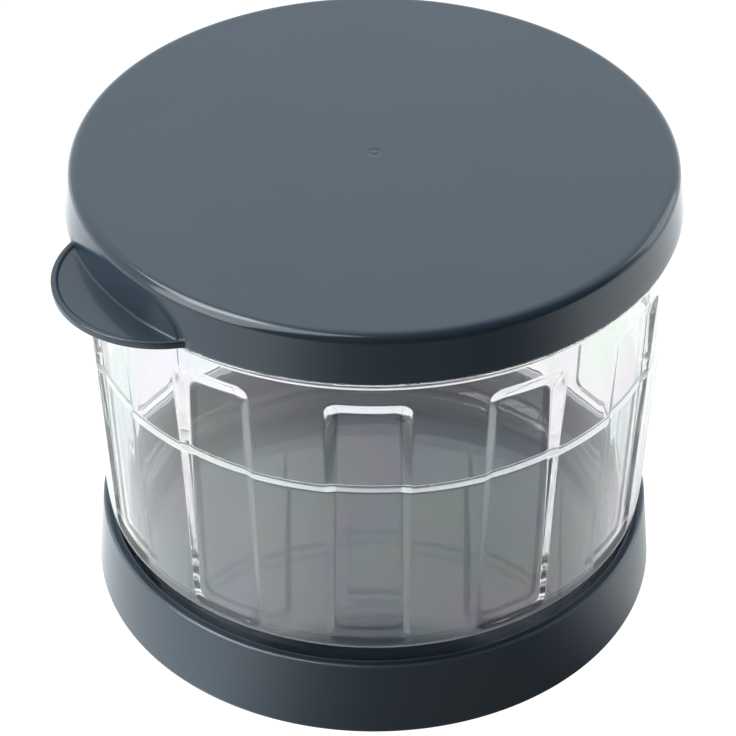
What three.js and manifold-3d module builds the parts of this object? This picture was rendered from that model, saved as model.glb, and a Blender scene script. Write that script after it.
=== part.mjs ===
// The bowl of a hand food chopper, closed by its storage lid and standing in its non-slip base cup.
// Millimetres, +Z up. The origin is on the bowl's axis, on the surface that the set stands on.
// The front is -Y, and an azimuth is counted from there towards +X.
import * as THREE from "three";
import { mergeVertices } from "three/addons/utils/BufferGeometryUtils.js";
import Module from "manifold-3d";

// Fits
const SEAT_GAP = 0.3; // between faces that rest on each other
const RUNNING_GAP = 0.3; // between the lid and the bowl's neck, on each side of the neck
const CUP_GAP = 0.6; // between the bowl's seat wall and the base cup's bore
const SKIRT_GAP = 0.6; // between the lid's skirt and the bowl's flange

// Non-slip ring under the base cup
const GRIP_PROUD = 0.6; // the ring stands this far below the cup
const GRIP_WIDTH = 4;
const GRIP_ROUND = 0.5;

// Base cup
const CUP_HEIGHT = 19; // rim above the table
const CUP_RIM_WIDTH = 2.4;
const CUP_FLARE = 1.5; // the foot is this much wider than the rim, on the radius
const CUP_FLOOR_RISE = 2.6; // underside of the floor above the table
const CUP_FLOOR = 2.2;
const CUP_FOOT_WALL = 2.2;
const CUP_RIB_WIDTH = 1.4; // rib that keeps the non-slip ring in its channel
const CUP_RIB_DEPTH = 1.2;
const CUP_EDGE_ROUND = 0.5;
const CUP_FOOT_ROUND = 1;
const CUP_BORE_ROUND = 2.5;

// Bowl
const BOWL_HEIGHT = 102.7; // foot to rim
const WALL_TOP_RADIUS = 65.15; // outside of the wall, right below the flange
const WALL_DRAFT = THREE.MathUtils.degToRad(3.08);
const SHOULDER_RISE = 4.3; // the shoulder's underside above the cup's rim
const SHOULDER_STEP = 1.65; // the wall steps in by this much at the shoulder, to the seat wall in the cup
const SHOULDER_ROUND = 0.5;
const SEAT_WALL = 1.8;
const NECK_INSET = 2.05; // from the wall's outside to the neck's
const NECK_HEIGHT = 9.4;
const NECK_WALL = 2.6;
const NECK_EDGE_ROUND = 0.5;
const FLANGE_PROUD = 0.5;
const FLANGE_THICKNESS = 1.2;
const FLANGE_ROUND = 0.35;
const BEAD_DEPTH = 40.3; // crest of the fill bead below the rim
const BEAD_PROUD = 0.8;
const BEAD_RISE = 0.5; // the bead's upper flank
const BEAD_FALL = 1.4; // the bead's lower flank
const UPPER_DRAFT = THREE.MathUtils.degToRad(0.5); // draft of the inner wall above the bead
const BOWL_FLOOR = 2.2;
const BOTTOM_ROUND = 4;
const INNER_ROUND = 3;
const FOOT_RING_HEIGHT = 1.4;
const FOOT_RING_WIDTH = 1.8;
const FOOT_RING_INSET = 5.5; // from the seat wall's outside to the foot ring's

// Recessed panels round the bowl. They have less draft than the wall, so they get shallower downwards.
const PANEL_COUNT = 12;
const PANEL_TURN = THREE.MathUtils.degToRad(-1.16); // azimuth of the front panel
const PANEL_WIDTH_SHARE = 0.54; // of the pitch
const PANEL_HEAD_DEPTH = 1.3;
const PANEL_FOOT_DEPTH = 0.35;
const PANEL_TOP_DROP = 4.85; // panel's head below the flange
const PANEL_FOOT_RISE = 1.7; // panel's foot above the shoulder's underside
const PANEL_TOP_BEVEL = 4.2; // from the panel's outline to its face
const PANEL_FOOT_BEVEL = 1.7;
const PANEL_SIDE_BEVEL_SHARE = 2.6; // of the depth
const PANEL_TOP_CORNER = 2.5;
const PANEL_FOOT_CORNER = 2.5;
const PANEL_BEVEL_SHARES = [
  [1, 1],
  [0.6, 0.78],
]; // inset and depth at the ends of the fillet between the face and the bevel, from the face outwards
const PANEL_CUT_SHARE = 0.25; // of the depth: the cut starts this far outside the wall

// Storage lid
const LID_PLATE = 1.9;
const LID_ROUND = 2.4;
const SKIRT_WALL = 1.7;
const SKIRT_FLARE = 1.05; // the skirt's foot is this much wider than its top, on the radius
const SKIRT_EDGE_ROUND = 0.4;
const PLUG_WALL = 1.4;
const PLUG_DEPTH = 6.5;
const PLUG_LEAD = 0.5;

// Thumb tab on the lid's skirt
const TAB_AZIMUTH = THREE.MathUtils.degToRad(-54.2);
const TAB_RADIUS = 23.4;
const TAB_REACH = 10.65;
const TAB_THICKNESS = 1.2;
const TAB_LIP_HEIGHT = 0.5;
const TAB_LIP_WIDTH = 0.9;

// Counts of facets
const TURN_STEPS = 72;
const TAB_STEPS = 64;
const CORNER_STEPS = 3;
const PANEL_ROW_STEPS = 3;

const QUARTER = Math.PI / 2;

// Heights above the table, from the ground up
const cupFloorTop = CUP_FLOOR_RISE + CUP_FLOOR;
const bowlFoot = cupFloorTop + SEAT_GAP;
const bowlUnderside = bowlFoot + FOOT_RING_HEIGHT;
const bowlFloorTop = bowlUnderside + BOWL_FLOOR;
const bowlRim = bowlFoot + BOWL_HEIGHT;
const flangeTop = bowlRim - NECK_HEIGHT;
const flangeFoot = flangeTop - FLANGE_THICKNESS;
const bead = bowlRim - BEAD_DEPTH;
const shoulder = CUP_HEIGHT + SHOULDER_RISE;
const panelHead = flangeFoot - PANEL_TOP_DROP;
const panelFoot = shoulder + PANEL_FOOT_RISE;
const skirtFoot = flangeTop + SKIRT_GAP;
const lidUnderside = bowlRim + SEAT_GAP;
const lidTop = lidUnderside + LID_PLATE;

// Outer radii of the bowl's drafted wall and of the seat wall under its shoulder, at a height
const wallRadius = (z) => WALL_TOP_RADIUS - (flangeFoot - z) * Math.tan(WALL_DRAFT);
const seatRadius = (z) => wallRadius(z) - SHOULDER_STEP;
const neckRadius = WALL_TOP_RADIUS - NECK_INSET;

// Inner radii of the bowl: right above its floor, and from the fill bead up
const lowerInside = (z) => seatRadius(z) - SEAT_WALL;
const upperInside = (z) => neckRadius - NECK_WALL - (bowlRim - z) * Math.tan(UPPER_DRAFT);

// Radius of the base cup's bore and of its outside, at a height
const cupBore = (z) => seatRadius(z) + CUP_GAP;
const cupRimRadius = cupBore(CUP_HEIGHT) + CUP_RIM_WIDTH;
const cupFootRadius = cupRimRadius + CUP_FLARE;
const cupFootInside = cupFootRadius - CUP_FOOT_WALL;

// Radii of the lid
const skirtTopRadius = neckRadius + RUNNING_GAP + SKIRT_WALL;
const skirtFootRadius = skirtTopRadius + SKIRT_FLARE;

const wasm = await Module();
wasm.setup();

// Points of a round corner about a centre, from one angle to another, in radius and height.
function corner(radius, height, round, from, to) {
  const points = [];
  for (let step = 0; step <= CORNER_STEPS; step += 1) {
    const angle = from + ((to - from) * step) / CORNER_STEPS;
    points.push([radius + round * Math.cos(angle), height + round * Math.sin(angle)]);
  }
  return points;
}

// Merges the shared vertices of a mesh and leaves out triangles that have shrunk to nothing.
function weld(geometry) {
  geometry.deleteAttribute("normal");
  geometry.deleteAttribute("uv");
  const merged = mergeVertices(geometry);
  const index = merged.getIndex().array;
  const kept = [];
  for (let i = 0; i < index.length; i += 3) {
    const [a, b, c] = [index[i], index[i + 1], index[i + 2]];
    if (a !== b && b !== c && c !== a) kept.push(a, b, c);
  }
  merged.setIndex(kept);
  return merged;
}

// Turns a profile of [radius, height] points about the Z axis. The profile runs anticlockwise.
function turned(profile, steps = TURN_STEPS) {
  const points = profile.map(([radius, height]) => new THREE.Vector2(radius, height));
  return weld(new THREE.LatheGeometry(points, steps).rotateX(QUARTER));
}

function toSolid(geometry) {
  const vertProperties = Float32Array.from(geometry.getAttribute("position").array);
  const triVerts = Uint32Array.from(geometry.getIndex().array);
  return new wasm.Manifold(new wasm.Mesh({ numProp: 3, vertProperties, triVerts }));
}

function toGeometry(solid) {
  const mesh = solid.getMesh();
  const geometry = new THREE.BufferGeometry();
  geometry.setAttribute("position", new THREE.BufferAttribute(mesh.vertProperties, mesh.numProp));
  geometry.setIndex(new THREE.BufferAttribute(mesh.triVerts, 1));
  return geometry;
}

// The point at an azimuth, a radius and a height
function around(azimuth, radius, height) {
  return [radius * Math.sin(azimuth), -radius * Math.cos(azimuth), height];
}

// Non-slip ring: soft rubber, set in the channel under the base cup.
function nonSlipRing() {
  const outer = cupFootInside - SEAT_GAP;
  const inner = outer - GRIP_WIDTH;
  const top = CUP_FLOOR_RISE - SEAT_GAP;
  return turned([
    ...corner(inner + GRIP_ROUND, GRIP_ROUND, GRIP_ROUND, 2 * QUARTER, 3 * QUARTER),
    ...corner(outer - GRIP_ROUND, GRIP_ROUND, GRIP_ROUND, 3 * QUARTER, 4 * QUARTER),
    [outer, top],
    [inner, top],
    [inner, GRIP_ROUND],
  ]);
}

// Base cup: a low cup that flares to its foot, with a flat rim and a channel for the non-slip ring.
function baseCup() {
  const ribOuter = cupFootInside - GRIP_WIDTH - 2 * SEAT_GAP;
  const ribInner = ribOuter - CUP_RIB_WIDTH;
  const ribFoot = CUP_FLOOR_RISE - CUP_RIB_DEPTH;
  const rimInner = cupBore(CUP_HEIGHT);
  const boreFoot = cupBore(cupFloorTop);
  return turned([
    [0, CUP_FLOOR_RISE],
    [ribInner, CUP_FLOOR_RISE],
    [ribInner, ribFoot],
    [ribOuter, ribFoot],
    [ribOuter, CUP_FLOOR_RISE],
    [cupFootInside, CUP_FLOOR_RISE],
    [cupFootInside, GRIP_PROUD],
    ...corner(cupFootRadius - CUP_FOOT_ROUND, GRIP_PROUD + CUP_FOOT_ROUND, CUP_FOOT_ROUND, -QUARTER, 0),
    ...corner(cupRimRadius - CUP_EDGE_ROUND, CUP_HEIGHT - CUP_EDGE_ROUND, CUP_EDGE_ROUND, 0, QUARTER),
    ...corner(rimInner + CUP_EDGE_ROUND, CUP_HEIGHT - CUP_EDGE_ROUND, CUP_EDGE_ROUND, QUARTER, 2 * QUARTER),
    ...corner(boreFoot - CUP_BORE_ROUND, cupFloorTop + CUP_BORE_ROUND, CUP_BORE_ROUND, 0, -QUARTER),
    [0, cupFloorTop],
  ]);
}

// The bowl without its panels: seat wall, shoulder, drafted wall, flange, neck, fill bead and foot ring.
function bowlShell() {
  const footRingOuter = seatRadius(bowlUnderside) - FOOT_RING_INSET;
  const footRingInner = footRingOuter - FOOT_RING_WIDTH;
  const bottomCorner = seatRadius(bowlUnderside + BOTTOM_ROUND) - BOTTOM_ROUND;
  const innerCorner = lowerInside(bowlFloorTop + INNER_ROUND) - INNER_ROUND;
  const shoulderEdge = wallRadius(shoulder + SHOULDER_ROUND) - SHOULDER_ROUND;
  const flangeEdge = WALL_TOP_RADIUS + FLANGE_PROUD - FLANGE_ROUND;
  const neckInner = upperInside(bowlRim);
  return turned([
    [0, bowlUnderside],
    [footRingInner, bowlUnderside],
    [footRingInner, bowlFoot],
    [footRingOuter, bowlFoot],
    [footRingOuter, bowlUnderside],
    ...corner(bottomCorner, bowlUnderside + BOTTOM_ROUND, BOTTOM_ROUND, -QUARTER, 0),
    [seatRadius(shoulder), shoulder],
    ...corner(shoulderEdge, shoulder + SHOULDER_ROUND, SHOULDER_ROUND, -QUARTER, 0),
    [wallRadius(flangeFoot), flangeFoot],
    ...corner(flangeEdge, flangeFoot + FLANGE_ROUND, FLANGE_ROUND, -QUARTER, 0),
    ...corner(flangeEdge, flangeTop - FLANGE_ROUND, FLANGE_ROUND, 0, QUARTER),
    [neckRadius, flangeTop],
    ...corner(neckRadius - NECK_EDGE_ROUND, bowlRim - NECK_EDGE_ROUND, NECK_EDGE_ROUND, 0, QUARTER),
    ...corner(neckInner + NECK_EDGE_ROUND, bowlRim - NECK_EDGE_ROUND, NECK_EDGE_ROUND, QUARTER, 2 * QUARTER),
    [upperInside(bead + BEAD_RISE), bead + BEAD_RISE],
    [upperInside(bead) - BEAD_PROUD, bead],
    [upperInside(bead - BEAD_FALL), bead - BEAD_FALL],
    ...corner(innerCorner, bowlFloorTop + INNER_ROUND, INNER_ROUND, 0, -QUARTER),
    [0, bowlFloorTop],
  ]);
}

// How deep a panel's face lies below the wall at a height
function panelDepth(z) {
  const rise = (z - panelFoot) / (panelHead - panelFoot);
  return PANEL_FOOT_DEPTH + (PANEL_HEAD_DEPTH - PANEL_FOOT_DEPTH) * rise;
}

// Half a row of points along a panel's head or foot, from near its middle out round its corner. The row
// lies at a height, and way is 1 where the panel ends upwards there and -1 where it ends downwards.
function panelHalfRow(sideAt, height, round, way) {
  const points = [[(sideAt(height) - round) / PANEL_ROW_STEPS, height]];
  for (let step = CORNER_STEPS; step >= 0; step -= 1) {
    const angle = (QUARTER * step) / CORNER_STEPS;
    const z = height - way * round * (1 - Math.sin(angle));
    points.push([sideAt(z) - round * (1 - Math.cos(angle)), z]);
  }
  return points;
}

// One ring of points round a panel: along its foot from left to right, then back along its head.
// At inset 0 the ring is the panel's outline on the wall, and at inset 1 it is the outline of its face.
function panelRing(azimuth, inset, depthShare) {
  const head = panelHead - inset * PANEL_TOP_BEVEL;
  const foot = panelFoot + inset * PANEL_FOOT_BEVEL;
  const halfAngle = (2 * QUARTER * PANEL_WIDTH_SHARE) / PANEL_COUNT;
  const bevel = (z) => inset * PANEL_SIDE_BEVEL_SHARE * panelDepth(z);
  const sideAt = (z) => wallRadius(z) * halfAngle - bevel(z);
  const footHalf = panelHalfRow(sideAt, foot, PANEL_FOOT_CORNER, -1);
  const headHalf = panelHalfRow(sideAt, head, PANEL_TOP_CORNER, 1);
  const mirrored = (row) => row.map(([across, z]) => [-across, z]);
  const outline = [
    ...mirrored(footHalf).toReversed(),
    ...footHalf,
    ...headHalf.toReversed(),
    ...mirrored(headHalf),
  ];
  return outline.map(([across, z]) =>
    around(azimuth + across / wallRadius(z), wallRadius(z) - depthShare * panelDepth(z), z),
  );
}

// The space of one recessed panel, from its face out past the wall: it is cut from the bowl.
function panelSpace(azimuth) {
  const [outerInset, outerDepth] = PANEL_BEVEL_SHARES.at(-1);
  const outside = [(-PANEL_CUT_SHARE * outerInset) / outerDepth, -PANEL_CUT_SHARE];
  const rings = [...PANEL_BEVEL_SHARES, outside].map(([inset, depth]) => panelRing(azimuth, inset, depth));
  const count = rings[0].length;
  const index = [];
  for (let level = 0; level + 1 < rings.length; level += 1) {
    for (let i = 0; i < count; i += 1) {
      const a = level * count + i;
      const b = level * count + ((i + 1) % count);
      index.push(a, b, b + count, a, b + count, a + count);
    }
  }
  const outer = (rings.length - 1) * count;
  for (let i = 0; i + 1 < count / 2; i += 1) {
    const [a, b, c, d] = [i, i + 1, count - 2 - i, count - 1 - i];
    index.push(a, c, b, a, d, c);
    index.push(outer + a, outer + b, outer + c, outer + a, outer + c, outer + d);
  }
  const geometry = new THREE.BufferGeometry();
  geometry.setAttribute("position", new THREE.Float32BufferAttribute(rings.flat(2), 3));
  geometry.setIndex(index);
  return geometry;
}

// Bowl: clear plastic, moulded in one piece with its ring of recessed panels.
function bowl() {
  let solid = toSolid(bowlShell());
  for (let i = 0; i < PANEL_COUNT; i += 1) {
    solid = solid.subtract(toSolid(panelSpace(PANEL_TURN + (4 * QUARTER * i) / PANEL_COUNT)));
  }
  return toGeometry(solid);
}

// The lid without its tab: flat plate, round edge, flared skirt, and a plug ring inside the bowl's neck.
function lidCap() {
  const channelOuter = skirtTopRadius - SKIRT_WALL;
  const plugFoot = lidUnderside - PLUG_DEPTH;
  const plugTopOuter = upperInside(lidUnderside) - RUNNING_GAP;
  const plugFootOuter = upperInside(plugFoot) - RUNNING_GAP;
  const plugInner = plugFootOuter - PLUG_WALL;
  const skirtEdge = skirtFootRadius - SKIRT_EDGE_ROUND;
  return turned([
    [0, lidUnderside],
    [plugInner, lidUnderside],
    [plugInner, plugFoot],
    [plugFootOuter - PLUG_LEAD, plugFoot],
    [plugFootOuter, plugFoot + PLUG_LEAD],
    [plugTopOuter, lidUnderside],
    [channelOuter, lidUnderside],
    [skirtFootRadius - SKIRT_WALL, skirtFoot],
    ...corner(skirtEdge, skirtFoot + SKIRT_EDGE_ROUND, SKIRT_EDGE_ROUND, -QUARTER, 0),
    ...corner(skirtTopRadius - LID_ROUND, lidTop - LID_ROUND, LID_ROUND, 0, QUARTER),
    [0, lidTop],
  ]);
}

// Thumb tab: a round plate level with the skirt's foot, with a raised lip along its edge.
function tab() {
  const top = skirtFoot + TAB_THICKNESS;
  const plate = turned(
    [
      [0, skirtFoot],
      [TAB_RADIUS - TAB_LIP_HEIGHT, skirtFoot],
      [TAB_RADIUS, skirtFoot + TAB_LIP_HEIGHT],
      [TAB_RADIUS, top],
      ...corner(TAB_RADIUS - TAB_LIP_HEIGHT, top, TAB_LIP_HEIGHT, 0, QUARTER),
      [TAB_RADIUS - TAB_LIP_WIDTH, top + TAB_LIP_HEIGHT],
      [TAB_RADIUS - TAB_LIP_WIDTH - TAB_LIP_HEIGHT, top],
      [0, top],
    ],
    TAB_STEPS,
  );
  const reach = skirtFootRadius + TAB_REACH - TAB_RADIUS;
  plate.translate(...around(TAB_AZIMUTH, reach, 0));
  const inside = turned([
    [0, skirtFoot - TAB_THICKNESS],
    [skirtFootRadius - SKIRT_WALL / 2, skirtFoot - TAB_THICKNESS],
    [skirtFootRadius - SKIRT_WALL / 2, lidTop],
    [0, lidTop],
  ]);
  return toSolid(plate).subtract(toSolid(inside));
}

function storageLid() {
  return toGeometry(toSolid(lidCap()).add(tab()));
}

const slate = new THREE.MeshStandardMaterial({ color: 0x56626d, roughness: 0.3, metalness: 0 });
const clear = new THREE.MeshStandardMaterial({
  color: 0xe6ecec,
  roughness: 0.06,
  metalness: 0,
  transparent: true,
  opacity: 0.3,
});
const rubber = new THREE.MeshStandardMaterial({ color: 0x3b434b, roughness: 0.8, metalness: 0 });

const chopper = new THREE.Group();
const pieces = [
  ["non_slip_ring", nonSlipRing(), rubber],
  ["base_cup", baseCup(), slate],
  ["bowl", bowl(), clear],
  ["storage_lid", storageLid(), slate],
];
for (const [name, geometry, material] of pieces) {
  const mesh = new THREE.Mesh(geometry, material.clone());
  mesh.name = name;
  chopper.add(mesh);
}

export default chopper;
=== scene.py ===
# A hand food chopper's clear bowl, closed by its storage lid and standing in its non-slip base cup.
# Metres, +Z up. The front is -Y, and an azimuth is counted from there towards +X.
import math

import bmesh
import bpy
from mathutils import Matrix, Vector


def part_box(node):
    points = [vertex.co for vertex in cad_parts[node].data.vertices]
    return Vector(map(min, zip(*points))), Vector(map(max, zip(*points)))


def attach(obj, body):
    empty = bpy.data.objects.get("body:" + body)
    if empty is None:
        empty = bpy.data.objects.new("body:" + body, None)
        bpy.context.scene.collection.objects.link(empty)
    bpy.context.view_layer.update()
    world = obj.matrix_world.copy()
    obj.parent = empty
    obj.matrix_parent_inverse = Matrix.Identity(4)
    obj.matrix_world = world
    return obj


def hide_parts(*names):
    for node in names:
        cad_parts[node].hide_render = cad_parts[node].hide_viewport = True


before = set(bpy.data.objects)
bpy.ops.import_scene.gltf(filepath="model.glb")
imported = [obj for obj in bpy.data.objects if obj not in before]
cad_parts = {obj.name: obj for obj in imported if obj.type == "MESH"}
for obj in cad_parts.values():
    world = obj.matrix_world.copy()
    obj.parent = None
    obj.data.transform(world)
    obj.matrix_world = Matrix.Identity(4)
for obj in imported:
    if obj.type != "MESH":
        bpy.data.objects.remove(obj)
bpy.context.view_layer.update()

# Non-slip ring
# A soft rubber ring in the channel under the base cup. It is moulded by itself and pressed into place,
# and its matt underside is what stands on the table.

TURN = 2 * math.pi
COLUMNS = 288  # of points round the axis
HOLD_MARGIN = 0.0004  # from a straight's end to the point that keeps it flat
MERGE_DISTANCE = 1e-7
GRIP_WIDTH = 0.004
GRIP_ROUND = 0.0005
RUBBER = (0.04, 0.047, 0.055, 1)
DUSTY_RUBBER = (0.075, 0.082, 0.09, 1)
RUBBER_ROUGHNESS = 0.72
DUST_ROUGHNESS = 0.12  # added where dust lies
DUST_EDGE = (0.45, 0.75)  # of a noise, from none to full, as for every other edge on a noise
RUBBER_GRAIN_DEPTH = 0.00006
MIX_SHARE = 0  # sockets of a Mix node for colours: the share, the two colours and the result
MIX_FIRST = 6
MIX_SECOND = 7
MIX_RESULT = 2


class Wire:
    """An output of a node. A sum or product on it adds Math nodes to the same tree."""

    def __init__(self, tree, socket=None):
        self.tree = tree
        self.socket = socket

    def node(self, kind, settings, inputs, output=0):
        """Adds a node, makes its settings, fills its sockets and gives the wire of one output."""
        made = self.tree.nodes.new(kind)
        for name, value in settings.items():
            setattr(made, name, value)
        for key, value in inputs.items():
            if isinstance(value, Wire):
                self.tree.links.new(value.socket, made.inputs[key])
            else:
                made.inputs[key].default_value = value
        return Wire(self.tree, made.outputs[output] if made.outputs else None)

    def maths(self, operation, *values):
        """The result of an operation on these values."""
        return self.node("ShaderNodeMath", {"operation": operation}, dict(enumerate(values)))

    def __add__(self, other):
        return self.maths("ADD", self, other)

    def __sub__(self, other):
        return self.maths("SUBTRACT", self, other)

    def __rsub__(self, other):
        return self.maths("SUBTRACT", other, self)

    def __mul__(self, other):
        return self.maths("MULTIPLY", self, other)

    def __truediv__(self, other):
        return self.maths("DIVIDE", self, other)

    def step(self, low, high):
        """0 below low, 1 above high, and a smooth rise between them."""
        inputs = {"Value": self, "From Min": low, "From Max": high}
        return self.node("ShaderNodeMapRange", {"interpolation_type": "SMOOTHSTEP"}, inputs)

    def coordinates(self):
        """The three coordinates of a place or direction."""
        return [self.node("ShaderNodeSeparateXYZ", {}, {"Vector": self}, axis) for axis in "XYZ"]

    def noise(self, place, scale, detail, roughness=0.5):
        """Noise from 0 to 1. The scale is in spots a metre."""
        inputs = {"Vector": place, "Scale": scale, "Detail": detail, "Roughness": roughness}
        return self.node("ShaderNodeTexNoise", {}, inputs)

    def mix(self, share, first, second):
        """A colour between two others."""
        inputs = {MIX_SHARE: share, MIX_FIRST: first, MIX_SECOND: second}
        return self.node("ShaderNodeMix", {"data_type": "RGBA"}, inputs, MIX_RESULT)

    def bump(self, height, depth, strength):
        """A surface normal from a height of 0 to 1, which stands for this depth in metres."""
        inputs = {"Height": height, "Distance": depth, "Strength": strength}
        return self.node("ShaderNodeBump", {}, inputs)


def moulded(name, paint):
    """A material of one surface shader. paint gives its sockets' values from a start and a place."""
    material = bpy.data.materials.new(name)
    material.use_nodes = True
    material.node_tree.nodes.clear()
    start = Wire(material.node_tree)
    place = start.node("ShaderNodeTexCoord", {}, {}, "Object")
    surface = start.node("ShaderNodeBsdfPrincipled", {}, paint(start, place))
    start.node("ShaderNodeOutputMaterial", {}, {"Surface": surface})
    return material


def arc(radius, height, bend, start, end, steps=6):
    """Points of an arc of radius bend about a centre, from one angle to another in degrees."""
    angles = [math.radians(start + (end - start) * step / steps) for step in range(steps + 1)]
    return [(radius + bend * math.cos(angle), height + bend * math.sin(angle)) for angle in angles]


def held(profile):
    """The profile with a point near both ends of each long straight, so that shading stays flat there."""
    points = [profile[0]]
    for (r0, z0), (r1, z1) in zip(profile, profile[1:]):
        length = math.hypot(r1 - r0, z1 - z0)
        if length > 3 * HOLD_MARGIN:
            for share in (HOLD_MARGIN / length, 1 - HOLD_MARGIN / length):
                points.append((r0 + (r1 - r0) * share, z0 + (z1 - z0) * share))
        points.append((r1, z1))
    return points


def swept(name, profiles, whole=True):
    """A smooth mesh through profiles of azimuths, radii and heights. Whole, it closes round the axis."""
    points = []
    for profile in profiles:
        points += [(r * math.sin(azimuth), -r * math.cos(azimuth), z) for azimuth, r, z in profile]
    rows = len(profiles[0])
    columns = len(profiles)
    faces = []
    for column in range(columns if whole else columns - 1):
        here = column * rows
        there = (column + 1) % columns * rows
        faces += [(here + row, there + row, there + row + 1, here + row + 1) for row in range(rows - 1)]
    mesh = bpy.data.meshes.new(name)
    mesh.from_pydata(points, [], faces)
    if whole:
        shape = bmesh.new()
        shape.from_mesh(mesh)
        bmesh.ops.remove_doubles(shape, verts=shape.verts, dist=MERGE_DISTANCE)
        bmesh.ops.recalc_face_normals(shape, faces=shape.faces)
        shape.to_mesh(mesh)
        shape.free()
    mesh.shade_smooth()
    return mesh


def turned(name, profile):
    """A mesh that is the same all round the axis."""
    azimuths = [TURN * column / COLUMNS for column in range(COLUMNS)]
    return swept(name, [[(azimuth, *point) for point in profile] for azimuth in azimuths])


def placed(name, mesh, material, body, node):
    """Makes a piece of a mesh, riding on a body in place of a CAD node."""
    mesh.materials.clear()
    mesh.materials.append(material)
    piece = bpy.data.objects.new(name, mesh)
    bpy.context.scene.collection.objects.link(piece)
    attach(piece, body)
    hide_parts(node)


def rubber(start, place):
    """Matt rubber with a fine grain and patches of pale dust."""
    grain = start.noise(place, scale=2600, detail=4)
    dust = start.noise(place, scale=90, detail=3).step(*DUST_EDGE)
    return {
        "Base Color": start.mix(dust, RUBBER, DUSTY_RUBBER),
        "Roughness": dust * DUST_ROUGHNESS + RUBBER_ROUGHNESS,
        "Normal": start.bump(grain, RUBBER_GRAIN_DEPTH, strength=0.5),
    }


grip_low, grip_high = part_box("non_slip_ring")
grip_outer = grip_high[0]
grip_inner = grip_outer - GRIP_WIDTH
grip_profile = held([
    *arc(grip_inner + GRIP_ROUND, grip_low[2] + GRIP_ROUND, GRIP_ROUND, 180, 270),
    *arc(grip_outer - GRIP_ROUND, grip_low[2] + GRIP_ROUND, GRIP_ROUND, 270, 360),
    (grip_outer, grip_high[2]),
    (grip_inner, grip_high[2]),
    (grip_inner, grip_low[2] + GRIP_ROUND),
])
grip_mesh = turned("grip_ring", grip_profile)
soft_rubber = moulded("soft_rubber", rubber)
placed("grip_ring", grip_mesh, soft_rubber, "base", "non_slip_ring")

# Base cup
# One moulding of slate-blue plastic: a low cup that flares to its foot. Its flat rim lies between two
# rounded edges that carry a painted highlight, its bore follows the bowl's wall with a narrow gap, and the
# floor that the bowl stands on is paler.

WALL_DRAFT = math.tan(math.radians(3.08))  # the bowl's wall, and the bore round it
CUP_FLARE = 0.0015
CUP_LEAN = 5  # degrees, of the side between foot and rim
CUP_RIM_WIDTH = 0.0024
CUP_FLOOR_RISE = 0.0026
CUP_FLOOR = 0.0022
CUP_FOOT_WALL = 0.0022
CUP_RIB_WIDTH = 0.0014
CUP_RIB_DEPTH = 0.0012
CUP_EDGE_ROUND = 0.0006
CUP_FOOT_ROUND = 0.001
CUP_BORE_ROUND = 0.0025
SEAT_GAP = 0.0003

SLATE = (0.047, 0.075, 0.105, 1)
CLOUDED_SLATE = (0.054, 0.084, 0.116, 1)
FLOOR_SLATE = (0.085, 0.14, 0.19, 1)
# painted highlight: paler slate on the rim's two rounded edges, where light catches them
RIM_HIGHLIGHT_SLATE = (0.13, 0.17, 0.21, 1)
PLASTIC_IOR = 1.5
SLATE_ROUGHNESS = 0.1
CLOUD_ROUGHNESS = 0.05  # added in the clouds
SCUFF_ROUGHNESS = 0.05  # added along the scuffs
SLATE_GRAIN_DEPTH = 0.00001
SCUFF_TURN = (0, 0, 0.6)
SCUFF_STRETCH = (60, 1900, 60)
SCUFF_EDGE = (0.66, 0.74)
SCUFF_PATCH_EDGE = (0.5, 0.7)
RIM_HIGHLIGHT_START = 0.0005  # from the middle of the rim
RIM_HIGHLIGHT_DEPTH = 0.0005  # below the top of the rim
RIM_HIGHLIGHT_BLEND = 0.0002
FLOOR_BLEND = 0.004


def slate(start, place):
    """Satin plastic with faint clouds, a fine grain and a few patches of hairline scuffs."""
    cloud = start.noise(place, scale=34, detail=3)
    grain = start.noise(place, scale=3400, detail=3)
    stretch = {"Vector": place, "Rotation": SCUFF_TURN, "Scale": SCUFF_STRETCH}
    hairlines = start.noise(start.node("ShaderNodeMapping", {}, stretch), scale=1, detail=2)
    patches = start.noise(place, scale=55, detail=1)
    scuffs = hairlines.step(*SCUFF_EDGE) * patches.step(*SCUFF_PATCH_EDGE)
    return {
        "Base Color": start.mix(cloud, SLATE, CLOUDED_SLATE),
        "Roughness": cloud * CLOUD_ROUGHNESS + scuffs * SCUFF_ROUGHNESS + SLATE_ROUGHNESS,
        "IOR": PLASTIC_IOR,
        "Normal": start.bump(grain, SLATE_GRAIN_DEPTH, strength=0.35),
    }


def around(place):
    """A place's distance from the axis, its height and its azimuth."""
    across, along, height = place.coordinates()
    radius = place.maths("SQRT", across * across + along * along)
    azimuth = place.maths("ARCTAN2", across, along * -1)
    return radius, height, azimuth


def rimmed_slate(start, place):
    """Slate with a paler floor, and a painted highlight on both edges of the cup's rim."""
    look = slate(start, place)
    radius, height, _ = around(place)
    from_middle = place.maths("ABSOLUTE", radius - (cup_rim - CUP_RIM_WIDTH / 2))
    # a painted highlight along both rounded edges of the rim
    highlit_edge = from_middle.step(RIM_HIGHLIGHT_START, RIM_HIGHLIGHT_START + RIM_HIGHLIGHT_BLEND)
    on_top = height.step(cup_top - RIM_HIGHLIGHT_DEPTH, cup_top - RIM_HIGHLIGHT_DEPTH + RIM_HIGHLIGHT_BLEND)
    off_bore = 1 - radius.step(bore_foot, bore_top)
    on_floor = 1 - height.step(cup_floor_top, cup_floor_top + FLOOR_BLEND)
    floored = start.mix(off_bore * on_floor, look["Base Color"], FLOOR_SLATE)
    look["Base Color"] = start.mix(highlit_edge * on_top, floored, RIM_HIGHLIGHT_SLATE)
    return look


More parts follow.
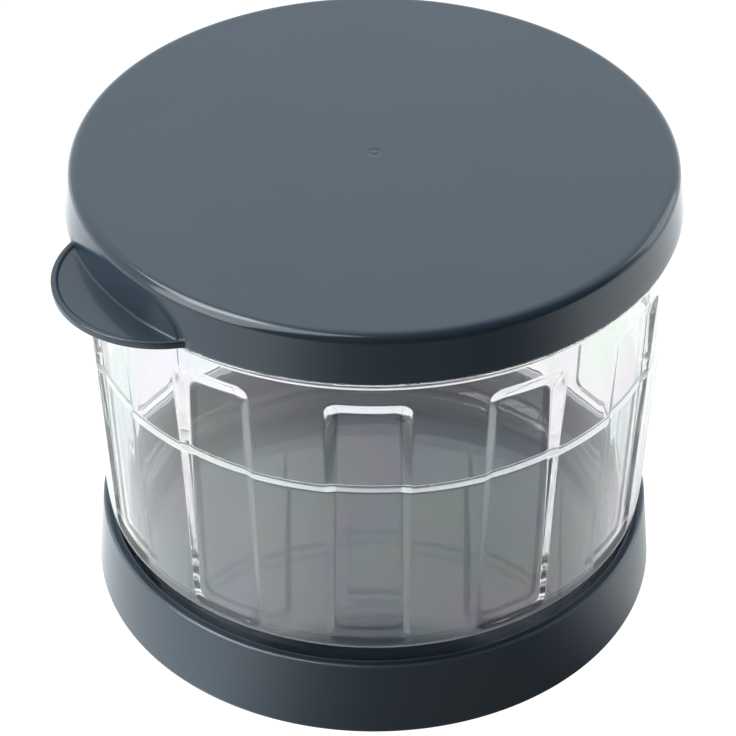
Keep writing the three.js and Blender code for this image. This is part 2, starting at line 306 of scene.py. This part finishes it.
cup_low, cup_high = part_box("base_cup")
cup_foot = cup_high[0]
cup_rim = cup_foot - CUP_FLARE
cup_top = cup_high[2]
cup_floor_top = CUP_FLOOR_RISE + CUP_FLOOR
cup_foot_inside = cup_foot - CUP_FOOT_WALL
rib_outer = cup_foot_inside - GRIP_WIDTH - 2 * SEAT_GAP
rib_inner = rib_outer - CUP_RIB_WIDTH
rib_foot = CUP_FLOOR_RISE - CUP_RIB_DEPTH
bore_top = cup_rim - CUP_RIM_WIDTH
bore_foot = bore_top - (cup_top - cup_floor_top) * WALL_DRAFT
cup_profile = held([
    (0, CUP_FLOOR_RISE),
    (rib_inner, CUP_FLOOR_RISE),
    (rib_inner, rib_foot),
    (rib_outer, rib_foot),
    (rib_outer, CUP_FLOOR_RISE),
    (cup_foot_inside, CUP_FLOOR_RISE),
    (cup_foot_inside, cup_low[2]),
    *arc(cup_foot - CUP_FOOT_ROUND, cup_low[2] + CUP_FOOT_ROUND, CUP_FOOT_ROUND, -90, CUP_LEAN),
    *arc(cup_rim - CUP_EDGE_ROUND, cup_top - CUP_EDGE_ROUND, CUP_EDGE_ROUND, CUP_LEAN, 90),
    *arc(bore_top + CUP_EDGE_ROUND, cup_top - CUP_EDGE_ROUND, CUP_EDGE_ROUND, 90, 180),
    *arc(bore_foot - CUP_BORE_ROUND, cup_floor_top + CUP_BORE_ROUND, CUP_BORE_ROUND, 0, -90),
    (0, cup_floor_top),
])
cup_mesh = turned("cup_moulding", cup_profile)
cup_slate = moulded("slate_cup", rimmed_slate)
placed("cup_moulding", cup_mesh, cup_slate, "base", "base_cup")

# Bowl
# One moulding of clear plastic. Twelve panels are recessed in the outside of its drafted wall, deepest at
# their heads. A seat wall under its shoulder stands in the cup on a flat underside, and a fill bead runs
# round the inside.

SHOULDER_RISE = 0.0043  # above the cup's rim
SHOULDER_STEP = 0.00165  # in from the wall to the seat wall
SHOULDER_ROUND = 0.0008
SEAT_WALL = 0.0018
NECK_INSET = 0.00205  # in from the wall's top to the neck
NECK_HEIGHT = 0.0094
NECK_WALL = 0.0026
NECK_ROUND = 0.0005
FLANGE_PROUD = 0.0005
FLANGE_THICKNESS = 0.0009
FLANGE_ROUND = 0.0004
BEAD_DEPTH = 0.0396  # of the fill bead's crest below the rim
BEAD_PROUD = 0.00088
BEAD_RISE = 0.0005  # of its upper flank
BEAD_FALL = 0.0014  # of its lower flank
BEAD_ROUND = 0.0003
BEAD_CREST = (120, 210)  # degrees, of the round between the bead's flanks
UPPER_DRAFT = math.tan(math.radians(0.5))  # the inside from the bead up
BOWL_FLOOR = 0.0036
BOTTOM_ROUND = 0.004
INNER_ROUND = 0.006
WALL_LEAN = 3  # degrees, where a round meets the wall

PANELS = 12
PANEL_TURN = math.radians(-1.16)  # azimuth of the front panel
PANEL_SHARE = 0.54  # of a sector's width
PANEL_HEAD_DEPTH = 0.00145
PANEL_FOOT_DEPTH = 0.0006
PANEL_TOP_DROP = 0.00485  # below the flange
PANEL_FOOT_RISE = 0.0017  # above the shoulder
PANEL_TOP_BEVEL = 0.0039  # from a panel's outline to its face
PANEL_FOOT_BEVEL = 0.0017
PANEL_HEAD_SIDE_BEVEL = 0.0031
PANEL_FOOT_SIDE_BEVEL = 0.0012
PANEL_TOP_CORNER = 0.0025
PANEL_FOOT_CORNER = 0.0025
PANEL_EDGE_SHARE = 0.06  # the bevel's rounded edge
PANEL_HEAD_FILLET_SHARE = 0.9
PANEL_SIDE_FILLET_SHARE = 0.3
HALVINGS = 13  # in the search for a point's place on a bevel
FACE_SHARE = 0.6  # of half a face's width, up to its round corners, where two columns are enough
OUTLINE_SHARE = 1 / 16  # from a panel's outline to the next column, of the way to the seam
SEAM = 0.000001  # within this, points of neighbouring sectors are joined

bowl_low, bowl_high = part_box("bowl")
bowl_rim = bowl_high[2]
bowl_foot = bowl_low[2]
flange_top = bowl_rim - NECK_HEIGHT
flange_foot = flange_top - FLANGE_THICKNESS
bead = bowl_rim - BEAD_DEPTH
wall_top = bowl_high[0] - FLANGE_PROUD
neck_radius = wall_top - NECK_INSET
shoulder = cup_top + SHOULDER_RISE
floor_top = bowl_foot + BOWL_FLOOR
panel_head = flange_foot - PANEL_TOP_DROP
panel_foot = shoulder + PANEL_FOOT_RISE
corners_head = panel_head - PANEL_TOP_BEVEL - PANEL_TOP_CORNER
corners_foot = panel_foot + PANEL_FOOT_BEVEL + PANEL_FOOT_CORNER
sector = TURN / PANELS
half_angle = sector * PANEL_SHARE / 2


def wall_radius(height):
    """Radius of the drafted wall's outside."""
    return wall_top - (flange_foot - height) * WALL_DRAFT


def seat_radius(height):
    """Radius of the seat wall's outside."""
    return wall_radius(height) - SHOULDER_STEP


def upper_inside(height):
    """Radius of the inside from the fill bead up."""
    return neck_radius - NECK_WALL - (bowl_rim - height) * UPPER_DRAFT


def graded(height, foot, head):
    """A length that grows from the panels' foot to their head."""
    return foot + (head - foot) * min(max((height - panel_foot) / (panel_head - panel_foot), 0), 1)


def panel_depth(height):
    """How far a panel's face lies under the wall."""
    return graded(height, PANEL_FOOT_DEPTH, PANEL_HEAD_DEPTH)


def side_bevel(height):
    """Width of the bevel at a panel's sides, between its outline and its face."""
    return graded(height, PANEL_FOOT_SIDE_BEVEL, PANEL_HEAD_SIDE_BEVEL)


def within(azimuth, height, inset):
    """True inside a panel's outline that is drawn in by an inset, from 0 at the wall to 1 at the face."""
    head = panel_head - inset * PANEL_TOP_BEVEL
    foot = panel_foot + inset * PANEL_FOOT_BEVEL
    upper = height > (head + foot) / 2
    corner = PANEL_TOP_CORNER if upper else PANEL_FOOT_CORNER
    side = wall_radius(height) * half_angle - inset * side_bevel(height)
    aside = abs(azimuth) * wall_radius(height) - side + corner
    beyond = max(height - head, foot - height) + corner
    return math.hypot(max(aside, 0), max(beyond, 0)) + min(max(aside, beyond), 0) < corner


def sunk(azimuth, height):
    """How deep the surface lies under the wall, as a share of the panel's depth."""
    inset = 0
    for halving in range(1, HALVINGS + 1):
        further = inset + 0.5 ** halving
        if within(azimuth, height, further):
            inset = further
    near_head = min(max(1 - (panel_head - PANEL_TOP_BEVEL - height) / PANEL_TOP_CORNER, 0), 1)
    fillet = PANEL_SIDE_FILLET_SHARE + (PANEL_HEAD_FILLET_SHARE - PANEL_SIDE_FILLET_SHARE) * near_head
    slope = 1 / (1 - PANEL_EDGE_SHARE / 2 - fillet / 2)
    if inset < PANEL_EDGE_SHARE:
        return slope * inset ** 2 / PANEL_EDGE_SHARE / 2
    if inset < 1 - fillet:
        return slope * (inset - PANEL_EDGE_SHARE / 2)
    return 1 - slope * (1 - inset) ** 2 / fillet / 2


def spread(start, end, steps):
    """Evenly spaced values after start, up to and with end."""
    return [start + (end - start) * step / steps for step in range(1, steps + 1)]


bottom_corner = seat_radius(bowl_foot + BOTTOM_ROUND) - BOTTOM_ROUND
inner_corner = seat_radius(floor_top + INNER_ROUND) - SEAT_WALL - INNER_ROUND
shoulder_edge = wall_radius(shoulder + SHOULDER_ROUND) - SHOULDER_ROUND
flange_edge = bowl_high[0] - FLANGE_ROUND
neck_inner = upper_inside(bowl_rim)
bead_inner = upper_inside(bead) - BEAD_PROUD
below_wall = held([
    (0, bowl_foot),
    *arc(bottom_corner, bowl_foot + BOTTOM_ROUND, BOTTOM_ROUND, -90, -WALL_LEAN),
    (seat_radius(shoulder), shoulder),
    *arc(shoulder_edge, shoulder + SHOULDER_ROUND, SHOULDER_ROUND, -90, -WALL_LEAN, steps=5),
])
wall_heights = [
    *spread(shoulder + SHOULDER_ROUND, panel_foot, steps=2),
    *spread(panel_foot, corners_foot, steps=15),
    *spread(corners_foot, corners_head, steps=3),
    *spread(corners_head, panel_head, steps=24),
    *spread(panel_head, flange_foot, steps=8)[:-1],
]
above_wall = held([
    (wall_radius(flange_foot), flange_foot),
    *arc(flange_edge, flange_foot + FLANGE_ROUND, FLANGE_ROUND, -90, 0, steps=4),
    *arc(flange_edge, flange_top - FLANGE_ROUND, FLANGE_ROUND, 0, 90, steps=4),
    (neck_radius, flange_top),
    *arc(neck_radius - NECK_ROUND, bowl_rim - NECK_ROUND, NECK_ROUND, 0, 90, steps=4),
    *arc(neck_inner + NECK_ROUND, bowl_rim - NECK_ROUND, NECK_ROUND, 90, 180, steps=4),
    (upper_inside(bead + BEAD_RISE), bead + BEAD_RISE),
    *arc(bead_inner + BEAD_ROUND, bead, BEAD_ROUND, *BEAD_CREST),
    (upper_inside(bead - BEAD_FALL), bead - BEAD_FALL),
    *arc(inner_corner, floor_top + INNER_ROUND, INNER_ROUND, 0, -90, steps=12),
    (0, floor_top),
])


def column_azimuth(column, height):
    """A column's turn from its sector's middle, 0. 1 is the face's edge, 2 the outline and 3 the seam."""
    bevel = side_bevel(height) / wall_radius(height)
    stops = (0, half_angle - bevel, half_angle, sector / 2)
    zone = min(int(abs(column)), 2)
    turn = stops[zone] + (stops[zone + 1] - stops[zone]) * (abs(column) - zone)
    return math.copysign(turn, column)


def bowl_profile(column):
    """The bowl's section at a column of a sector, from the middle of its underside to that of its floor."""
    wall = []
    for height in wall_heights:
        depth = panel_depth(height) * sunk(column_azimuth(column, height), height)
        wall.append((wall_radius(height) - depth, height))
    section = below_wall + wall + above_wall
    return [(PANEL_TURN + column_azimuth(column, height), radius, height) for radius, height in section]


half_columns = [
    0,
    *spread(0, FACE_SHARE, steps=2),
    *spread(FACE_SHARE, 1, steps=6),
    *spread(1, 2, steps=14),
    2 + OUTLINE_SHARE,
    *spread(2 + OUTLINE_SHARE, 3, steps=3),
]
across_sector = [-column for column in half_columns[:0:-1]] + half_columns
sector_mesh = swept("bowl_sector", [bowl_profile(column) for column in across_sector], whole=False)


def ring_of_sectors():
    """A tree that sets sectors round the axis and joins them at their seams."""
    tree = bpy.data.node_groups.new("ring_of_sectors", "GeometryNodeTree")
    kinds = {"Sector": "Geometry", "Count": "Int", "Seam": "Float", "Plastic": "Material"}
    ends = {}
    for label, kind in kinds.items():
        socket = tree.interface.new_socket(label, in_out="INPUT", socket_type="NodeSocket" + kind)
        ends[label] = socket.identifier
    tree.interface.new_socket("Geometry", in_out="OUTPUT", socket_type="NodeSocketGeometry")
    start = Wire(tree)
    given = tree.nodes.new("NodeGroupInput")
    shape, count, seam, plastic = (Wire(tree, given.outputs[label]) for label in ends)
    places = start.node("GeometryNodeMeshLine", {}, {"Count": count, "Offset": (0, 0, 0)})
    turn = start.node("GeometryNodeInputIndex", {}, {}) * TURN / count
    turning = start.node("ShaderNodeCombineXYZ", {}, {"Z": turn})
    copies = {"Points": places, "Instance": shape, "Rotation": turning}
    ring = start.node("GeometryNodeInstanceOnPoints", {}, copies)
    real = start.node("GeometryNodeRealizeInstances", {}, {"Geometry": ring})
    joined = start.node("GeometryNodeMergeByDistance", {}, {"Geometry": real, "Distance": seam})
    smooth = start.node("GeometryNodeSetShadeSmooth", {}, {"Geometry": joined, "Shade Smooth": True})
    finished = start.node("GeometryNodeSetMaterial", {}, {"Geometry": smooth, "Material": plastic})
    tree.links.new(finished.socket, tree.nodes.new("NodeGroupOutput").inputs[0])
    return tree, ends


CLEAR = (0.975, 0.992, 1, 1)
BEAD_SHADE = (0.6, 0.64, 0.66, 1)
# painted shade on the seat wall, for the dark gap between the bowl's shoulder and the cup
SEAT_SHADE = (0.02, 0.05, 0.08, 1)
BEAD_SHADE_SHARE = 0.5
SEAT_SHADE_SHARE = 0.9
TINT_SHARE = 0.05
STRESS_FRINGES = 30  # radians of phase between the least and the most stress
STRESS_SHIFTS = (0, 2.1, 4.2)  # radians, of the red, green and blue fringes
TRANSMISSION = 0.97
POLISHED = 0.012  # roughness, and below it what haze and frost add
HAZED = 0.03
HAZE_EDGE = (0.5, 0.8)
FROSTED_BEAD = 0.25
FROSTED_EDGE = 0.2
FROSTED_FLANK = 0.15
FLOW_DEPTH = 0.0001
FLANK_INNER = 0.022  # radians from a panel's outline towards its middle
FLANK_OUTER = 0.004  # radians from a panel's outline towards the seam
FLANK_BLEND = 0.006
FROST_FULL = 0.012  # above the panels' foot
FROST_END = 0.03
SEAT_SHADE_DEPTH = 0.0011  # inwards from the seat wall's outside at the shoulder
SEAT_SHADE_DROP = 0.0003  # below the shoulder
SEAT_SHADE_BLEND = 0.0004
BEAD_BLEND = 0.0004
BEAD_TOP_BLEND = 0.0003
FLANGE_BLEND = 0.0002


def clear(start, place):
    """Polished clear plastic, faint stress fringes, painted shade on the seat wall; bead, flange and low
    flanks frosted.
    """
    flow = start.noise(place, scale=26, detail=2, roughness=0.4)
    haze = start.noise(place, scale=70, detail=4).step(*HAZE_EDGE)
    phase = start.noise(place, scale=16, detail=1, roughness=0.4) * STRESS_FRINGES
    stress = [place.maths("COSINE", phase + shift) * 0.5 + 0.5 for shift in STRESS_SHIFTS]
    tint = start.node("ShaderNodeCombineColor", {}, dict(enumerate(stress)))
    radius, height, azimuth = around(place)

    from_middle = place.maths("PINGPONG", (azimuth - PANEL_TURN) / sector, 0.5) * sector
    past_face = from_middle.step(half_angle - FLANK_INNER, half_angle - FLANK_INNER + FLANK_BLEND)
    flank = past_face * (1 - from_middle.step(half_angle, half_angle + FLANK_OUTER))
    low = 1 - height.step(panel_foot + FROST_FULL, panel_foot + FROST_END)
    frost = flank * low * height.step(shoulder, panel_foot)

    # painted shade: the seat wall below the shoulder is darkened nearly to black, where the gap lies in
    # shade
    seat_side = seat_radius(shoulder) - SEAT_SHADE_DEPTH
    seat_top = shoulder - SEAT_SHADE_DROP
    below_shoulder = 1 - height.step(seat_top, seat_top + SEAT_SHADE_BLEND)
    shaded_seat = radius.step(seat_side, seat_side + SEAT_SHADE_BLEND) * below_shoulder

    inside = 1 - radius.step(upper_inside(bead), upper_inside(bead) + BEAD_BLEND)
    over_bead_foot = height.step(bead - BEAD_FALL, bead - BEAD_FALL + BEAD_BLEND)
    under_bead_top = 1 - height.step(bead + BEAD_RISE, bead + BEAD_RISE + BEAD_TOP_BLEND)
    crest = over_bead_foot * under_bead_top * inside

    over_flange_foot = height.step(flange_foot - FLANGE_BLEND / 2, flange_foot + FLANGE_BLEND / 2)
    edge = radius.step(wall_top, wall_top + FLANGE_BLEND) * over_flange_foot

    tinted = start.mix(TINT_SHARE, CLEAR, tint)
    beaded = start.mix(crest * BEAD_SHADE_SHARE, tinted, BEAD_SHADE)
    frosted = crest * FROSTED_BEAD + edge * FROSTED_EDGE + frost * FROSTED_FLANK
    return {
        "Base Color": start.mix(shaded_seat * SEAT_SHADE_SHARE, beaded, SEAT_SHADE),
        "Roughness": haze * HAZED + frosted + POLISHED,
        "IOR": PLASTIC_IOR,
        "Transmission Weight": TRANSMISSION,
        "Normal": start.bump(flow, FLOW_DEPTH, strength=0.3),
    }


tree, ends = ring_of_sectors()
builder = bpy.data.objects.new("bowl_builder", sector_mesh)
bpy.context.scene.collection.objects.link(builder)
ring = builder.modifiers.new("ring", "NODES")
ring.node_group = tree
ring[ends["Count"]] = PANELS
ring[ends["Seam"]] = SEAM
bowl_plastic = moulded("clear_plastic", clear)
ring[ends["Plastic"]] = bowl_plastic
depsgraph = bpy.context.evaluated_depsgraph_get()
bowl_mesh = bpy.data.meshes.new_from_object(builder.evaluated_get(depsgraph))
bpy.data.objects.remove(builder)
placed("bowl_moulding", bowl_mesh, bowl_plastic, "bowl", "bowl")

# Storage lid
# One moulding of the same slate plastic: a flat plate with a round edge, a flared skirt outside the
# bowl's neck, a plug ring inside it, and a thumb tab with a raised lip grown out of the skirt's foot.

RUNNING_GAP = 0.0003  # on each side of the neck
SKIRT_GAP = 0.0006  # over the flange
LID_PLATE = 0.0019
LID_ROUND = 0.0024
SKIRT_WALL = 0.0017
SKIRT_FLARE = 0.00105
SKIRT_EDGE_ROUND = 0.0004
PLUG_WALL = 0.0014
PLUG_DEPTH = 0.0065
PLUG_LEAD = 0.0005
GATE_RADIUS = 0.0011
GATE_DEPTH = 0.0002
GATE_DISH = 0.0004
TAB_AZIMUTH = math.radians(-54.2)
TAB_HALF_ANGLE = math.radians(19.4)  # of the lid's columns that may cross the tab
TAB_RADIUS = 0.0234
TAB_REACH = 0.01065  # past the skirt's foot
TAB_THICKNESS = 0.0012
TAB_LIP_HEIGHT = 0.0005
TAB_LIP_WIDTH = 0.0009
TAB_ROOT_ROUND = 0.0004
TAB_ROOT_STEPS = 5
TAB_EDGE_ROUND = 0.0003
TAB_HOLD_SHARES = (0.95, 0.05)
TAB_ROOM = 0.003  # height of the skirt's foot that the tab grows from
TAB_COLUMNS = 120
PLAIN_COLUMNS = 250

_, lid_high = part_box("storage_lid")
lid_top = lid_high[2]
lid_underside = lid_top - LID_PLATE
skirt_top_radius = neck_radius + RUNNING_GAP + SKIRT_WALL
skirt_foot_radius = skirt_top_radius + SKIRT_FLARE
skirt_foot = flange_top + SKIRT_GAP
skirt_edge = skirt_foot_radius - SKIRT_EDGE_ROUND
plug_foot = lid_underside - PLUG_DEPTH
plug_top_outer = upper_inside(lid_underside) - RUNNING_GAP
plug_foot_outer = upper_inside(plug_foot) - RUNNING_GAP
plug_inner = plug_foot_outer - PLUG_WALL
tab_top = skirt_foot + TAB_THICKNESS
tab_middle = skirt_foot_radius + TAB_REACH - TAB_RADIUS
lip_bend = arc(0, tab_top, TAB_LIP_HEIGHT, 0, 90, steps=4)[1:]
lip_edge = arc(0, tab_top + TAB_LIP_HEIGHT - TAB_EDGE_ROUND, TAB_EDGE_ROUND, 90, 0, steps=4)
underside_edge = arc(0, skirt_foot + TAB_EDGE_ROUND, TAB_EDGE_ROUND, 0, -90, steps=4)
tab_outline = [
    (TAB_LIP_WIDTH + TAB_LIP_HEIGHT, tab_top),
    *[(TAB_LIP_WIDTH + bend, height) for bend, height in lip_bend],
    *[(TAB_EDGE_ROUND - bend, height) for bend, height in lip_edge + underside_edge],
]  # insets from the tab's round edge, and heights


def skirt_radius(height):
    """Radius of the skirt's outside."""
    share = (lid_top - LID_ROUND - height) / (lid_top - LID_ROUND - skirt_foot)
    return skirt_top_radius + SKIRT_FLARE * share


def tab_edge(azimuth, inset):
    """Radius at which a line from the axis leaves the tab's disc, drawn in by an inset."""
    aside = tab_middle * math.sin(azimuth - TAB_AZIMUTH)
    radius = TAB_RADIUS - inset
    if abs(aside) > radius or math.cos(azimuth - TAB_AZIMUTH) < 0:
        return 0
    return tab_middle * math.cos(azimuth - TAB_AZIMUTH) + math.sqrt(radius ** 2 - aside ** 2)


def tab_section(azimuth):
    """The tab's section at an azimuth, from its root on the skirt over its lip to its underside's edge."""
    section = [(tab_edge(azimuth, inset), height) for inset, height in tab_outline]
    outside = [radius > skirt_radius(height) for radius, height in section]
    if not any(outside):
        return None
    first = outside.index(True)
    meeting = section[first][1]
    if first > 0:
        (r0, z0), (r1, z1) = section[first - 1], section[first]
        meeting = z0 + (z1 - z0) * (skirt_radius(z0) - r0) / (r1 - r0)
    root = (skirt_radius(meeting), meeting)
    return [root] * (first + 1) + section[first:]


def lid_profile(azimuth):
    """The lid's section at an azimuth, from the middle of its underside round its skirt to its top."""
    foot = [(skirt_foot_radius - SKIRT_WALL, skirt_foot), (skirt_edge, skirt_foot)]
    section = tab_section(azimuth)
    if section:
        root_radius, root_height = section[0]
        overhang = max(section[-1][0] - skirt_foot_radius, 0)
        bend = min(TAB_ROOT_ROUND, overhang / 2)
        flat = section[1][0] - root_radius - bend
        holds = [(root_radius + bend + flat * share, root_height) for share in TAB_HOLD_SHARES]
        fillet = arc(root_radius + bend, root_height + bend, bend, 270, 180, TAB_ROOT_STEPS)
        foot += section[:0:-1] + holds + fillet
    else:
        steps = len(tab_outline) + len(TAB_HOLD_SHARES) + TAB_ROOT_STEPS + 1
        foot += arc(skirt_edge, skirt_foot + SKIRT_EDGE_ROUND, SKIRT_EDGE_ROUND, -90, 0, steps)[1:]
    return lid_inside + foot + lid_outside


lid_inside = held([
    (0, lid_underside),
    (plug_inner, lid_underside),
    (plug_inner, plug_foot),
    (plug_foot_outer - PLUG_LEAD, plug_foot),
    (plug_foot_outer, plug_foot + PLUG_LEAD),
    (plug_top_outer, lid_underside),
    (skirt_top_radius - SKIRT_WALL, lid_underside),
    (skirt_foot_radius - SKIRT_WALL, skirt_foot),
])[:-1]
lid_outside = held([
    (skirt_radius(skirt_foot + TAB_ROOM), skirt_foot + TAB_ROOM),
    *arc(skirt_top_radius - LID_ROUND, lid_top - LID_ROUND, LID_ROUND, 0, 90, steps=12),
    (GATE_RADIUS + GATE_DISH, lid_top),
    (GATE_RADIUS, lid_top - GATE_DEPTH),
    (GATE_RADIUS - GATE_DISH, lid_top - GATE_DEPTH / 4),
    (0, lid_top - GATE_DEPTH / 4),
])
lid_azimuths = [
    *spread(TAB_AZIMUTH - TAB_HALF_ANGLE, TAB_AZIMUTH + TAB_HALF_ANGLE, TAB_COLUMNS),
    *spread(TAB_AZIMUTH + TAB_HALF_ANGLE, TAB_AZIMUTH - TAB_HALF_ANGLE + TURN, PLAIN_COLUMNS),
]
lid_mesh = swept("lid_moulding", [
    [(azimuth, *point) for point in lid_profile(azimuth)] for azimuth in lid_azimuths
])
lid_slate = moulded("slate_lid", slate)
placed("lid_moulding", lid_mesh, lid_slate, "lid", "storage_lid")

# Studio
# A white table. Gloss mirrors the room as white behind and at the left, and as dark elsewhere. Softboxes
# at the left, the right and the back light the set, and two cards at the left are only mirrored in it.
# The camera stands at the front.

TABLE_SIDE = 6.0
TABLE_GREY = 0.36
WHITE = (1, 1, 1, 1)
SEEN_LEVEL = 1.14  # the white seen directly and through the clear plastic
SIDE_LEVEL = 1.45  # the table beside the object, as its glossy sides mirror it
SHEEN_COLOR = (0.95, 1, 1.02, 1)
SHEEN_RIGHT_DROP = 0.1  # share of the side level, at the right
SHADE_LEVEL = 0.2  # share of the side level, in the shade in front
SHADE_AZIMUTH = math.radians(19)
SHADE_EDGE = (0.52, 0.97)  # cosine of the turn from the middle of the shade
NEAR_DROP = 0.17  # share of the side level, close by at both sides
NEAR_RIGHT_DROP = 0.35  # added to it at the right
NEAR_REACH = (0.03, 0.15)  # metres from the axis
FRONT_LEVEL = 0.02  # of the dark part of the room
BACK_EDGE = (-0.1, 0.4)  # of a direction's part to the back, from -1 to 1, as for the next two
LEFT_EDGE = (-0.95, -0.6)
CEILING_EDGE = (0.7, 0.92)
CEILING_DROP = 0.3
LAMP_DISTANCE = 1.3
LAMP_COLOR = (0.93, 0.98, 1)
CAMERA_PLACE = (-0.001352, -0.53061, 0.46527)
CAMERA_TILT = math.radians(52.08)
CAMERA_LENS = 146.74
CAMERA_SENSOR = 36
LIGHT_BOUNCES = 32
GLOSSY_BOUNCES = 24


def seen_white(start):
    """1 for rays that come straight from the camera or through clear plastic, else 0."""
    direct = start.node("ShaderNodeLightPath", {}, {}, "Is Camera Ray")
    through = start.node("ShaderNodeLightPath", {}, {}, "Is Transmission Ray")
    return direct.maths("MAXIMUM", direct, through)


def either(start, share, first, second):
    """A surface that is the first at share 0 and the second at share 1."""
    return start.node("ShaderNodeMixShader", {}, dict(enumerate((share, first, second))))


scene = bpy.context.scene
table_mesh = bpy.data.meshes.new("table")
reach = TABLE_SIDE / 2
table_corners = [(-reach, -reach, 0), (reach, -reach, 0), (reach, reach, 0), (-reach, reach, 0)]
table_mesh.from_pydata(table_corners, [], [(0, 1, 2, 3)])
table_top = bpy.data.materials.new("white_table")
table_top.use_nodes = True
table_top.node_tree.nodes.clear()
start = Wire(table_top.node_tree)
paper = start.node("ShaderNodeBsdfDiffuse", {}, {"Color": (TABLE_GREY, TABLE_GREY, TABLE_GREY, 1)})
east, north, _ = start.node("ShaderNodeNewGeometry", {}, {}, "Position").coordinates()
away = start.maths("SQRT", east * east + north * north)
facing = (east * math.sin(SHADE_AZIMUTH) - north * math.cos(SHADE_AZIMUTH)) / away
side = east / away
right = start.maths("MAXIMUM", side, 0)
beside = side * side
# painted shadow in the table's glow as gloss mirrors it: darker in front, at the right and close by at both
# sides
dimmer = beside * beside * (right * NEAR_RIGHT_DROP + NEAR_DROP)
near = (1 - away.step(*NEAR_REACH)) * dimmer
shade = facing.step(*SHADE_EDGE) * (1 - SHADE_LEVEL)
sheen = 1 - shade - right * SHEEN_RIGHT_DROP - near
seen_glossy = start.node("ShaderNodeLightPath", {}, {}, "Is Reflection Ray")
glow = start.node("ShaderNodeEmission", {}, {"Color": SHEEN_COLOR, "Strength": sheen * SIDE_LEVEL})
bright = start.node("ShaderNodeEmission", {}, {"Color": WHITE, "Strength": SEEN_LEVEL})
table_surface = either(start, seen_white(start), either(start, seen_glossy, paper, glow), bright)
start.node("ShaderNodeOutputMaterial", {}, {"Surface": table_surface})
table_mesh.materials.append(table_top)
table = bpy.data.objects.new("table", table_mesh)
scene.collection.objects.link(table)

room = bpy.data.worlds.new("studio")
room.use_nodes = True
room.node_tree.nodes.clear()
scene.world = room
start = Wire(room.node_tree)
along, back, up = start.node("ShaderNodeTexCoord", {}, {}, "Generated").coordinates()
behind = back.step(*BACK_EDGE)
at_left = 1 - along.step(*LEFT_EDGE)
ceiling = 1 - up.step(*CEILING_EDGE) * CEILING_DROP
walls = (start.maths("MAXIMUM", behind, at_left) * (1 - FRONT_LEVEL) + FRONT_LEVEL) * ceiling
seen = seen_white(start)
level = seen * SEEN_LEVEL + (1 - seen) * walls
sky = start.node("ShaderNodeBackground", {}, {"Color": WHITE, "Strength": level})
start.node("ShaderNodeOutputWorld", {}, {"Surface": sky})


def softbox(name, azimuth, elevation, width, height, radiance, lights=True, mirrored=True):
    """A rectangular light that faces the object from an azimuth and an elevation in degrees.

    lights is whether it falls on matt surfaces, and mirrored whether gloss and clear plastic show it.
    """
    lamp = bpy.data.lights.new(name, "AREA")
    lamp.shape = "RECTANGLE"
    lamp.size = width
    lamp.size_y = height
    lamp.energy = radiance * math.pi * width * height
    lamp.color = LAMP_COLOR
    turn = math.radians(azimuth)
    rise = math.radians(elevation)
    lamp_object = bpy.data.objects.new(name, lamp)
    lamp_object.location = (
        LAMP_DISTANCE * math.sin(turn) * math.cos(rise),
        -LAMP_DISTANCE * math.cos(turn) * math.cos(rise),
        LAMP_DISTANCE * math.sin(rise),
    )
    lamp_object.rotation_euler = (math.pi / 2 - rise, 0, turn)
    lamp_object.visible_camera = False
    lamp_object.visible_diffuse = lights
    lamp_object.visible_glossy = mirrored
    lamp_object.visible_transmission = mirrored
    scene.collection.objects.link(lamp_object)


softbox("left_softbox", azimuth=-92, elevation=42, width=0.4, height=1.6, radiance=3.2, mirrored=False)
softbox("left_card", azimuth=-62, elevation=45, width=0.9, height=1.8, radiance=4.4, lights=False)
softbox("high_card", azimuth=-100, elevation=62, width=0.6, height=0.5, radiance=7.0, lights=False)
softbox("right_softbox", azimuth=118, elevation=20, width=0.6, height=0.8, radiance=1.6)
softbox("back_softbox", azimuth=180, elevation=50, width=1.2, height=1.2, radiance=2.0, mirrored=False)

camera = bpy.data.cameras.new("camera")
camera.sensor_width = CAMERA_SENSOR
camera.lens = CAMERA_LENS
camera_object = bpy.data.objects.new("camera", camera)
camera_object.location = CAMERA_PLACE
camera_object.rotation_euler = (CAMERA_TILT, 0, 0)
scene.collection.objects.link(camera_object)
scene.camera = camera_object
scene.view_settings.view_transform = "Standard"
scene.cycles.max_bounces = LIGHT_BOUNCES
scene.cycles.glossy_bounces = GLOSSY_BOUNCES
scene.cycles.transmission_bounces = LIGHT_BOUNCES
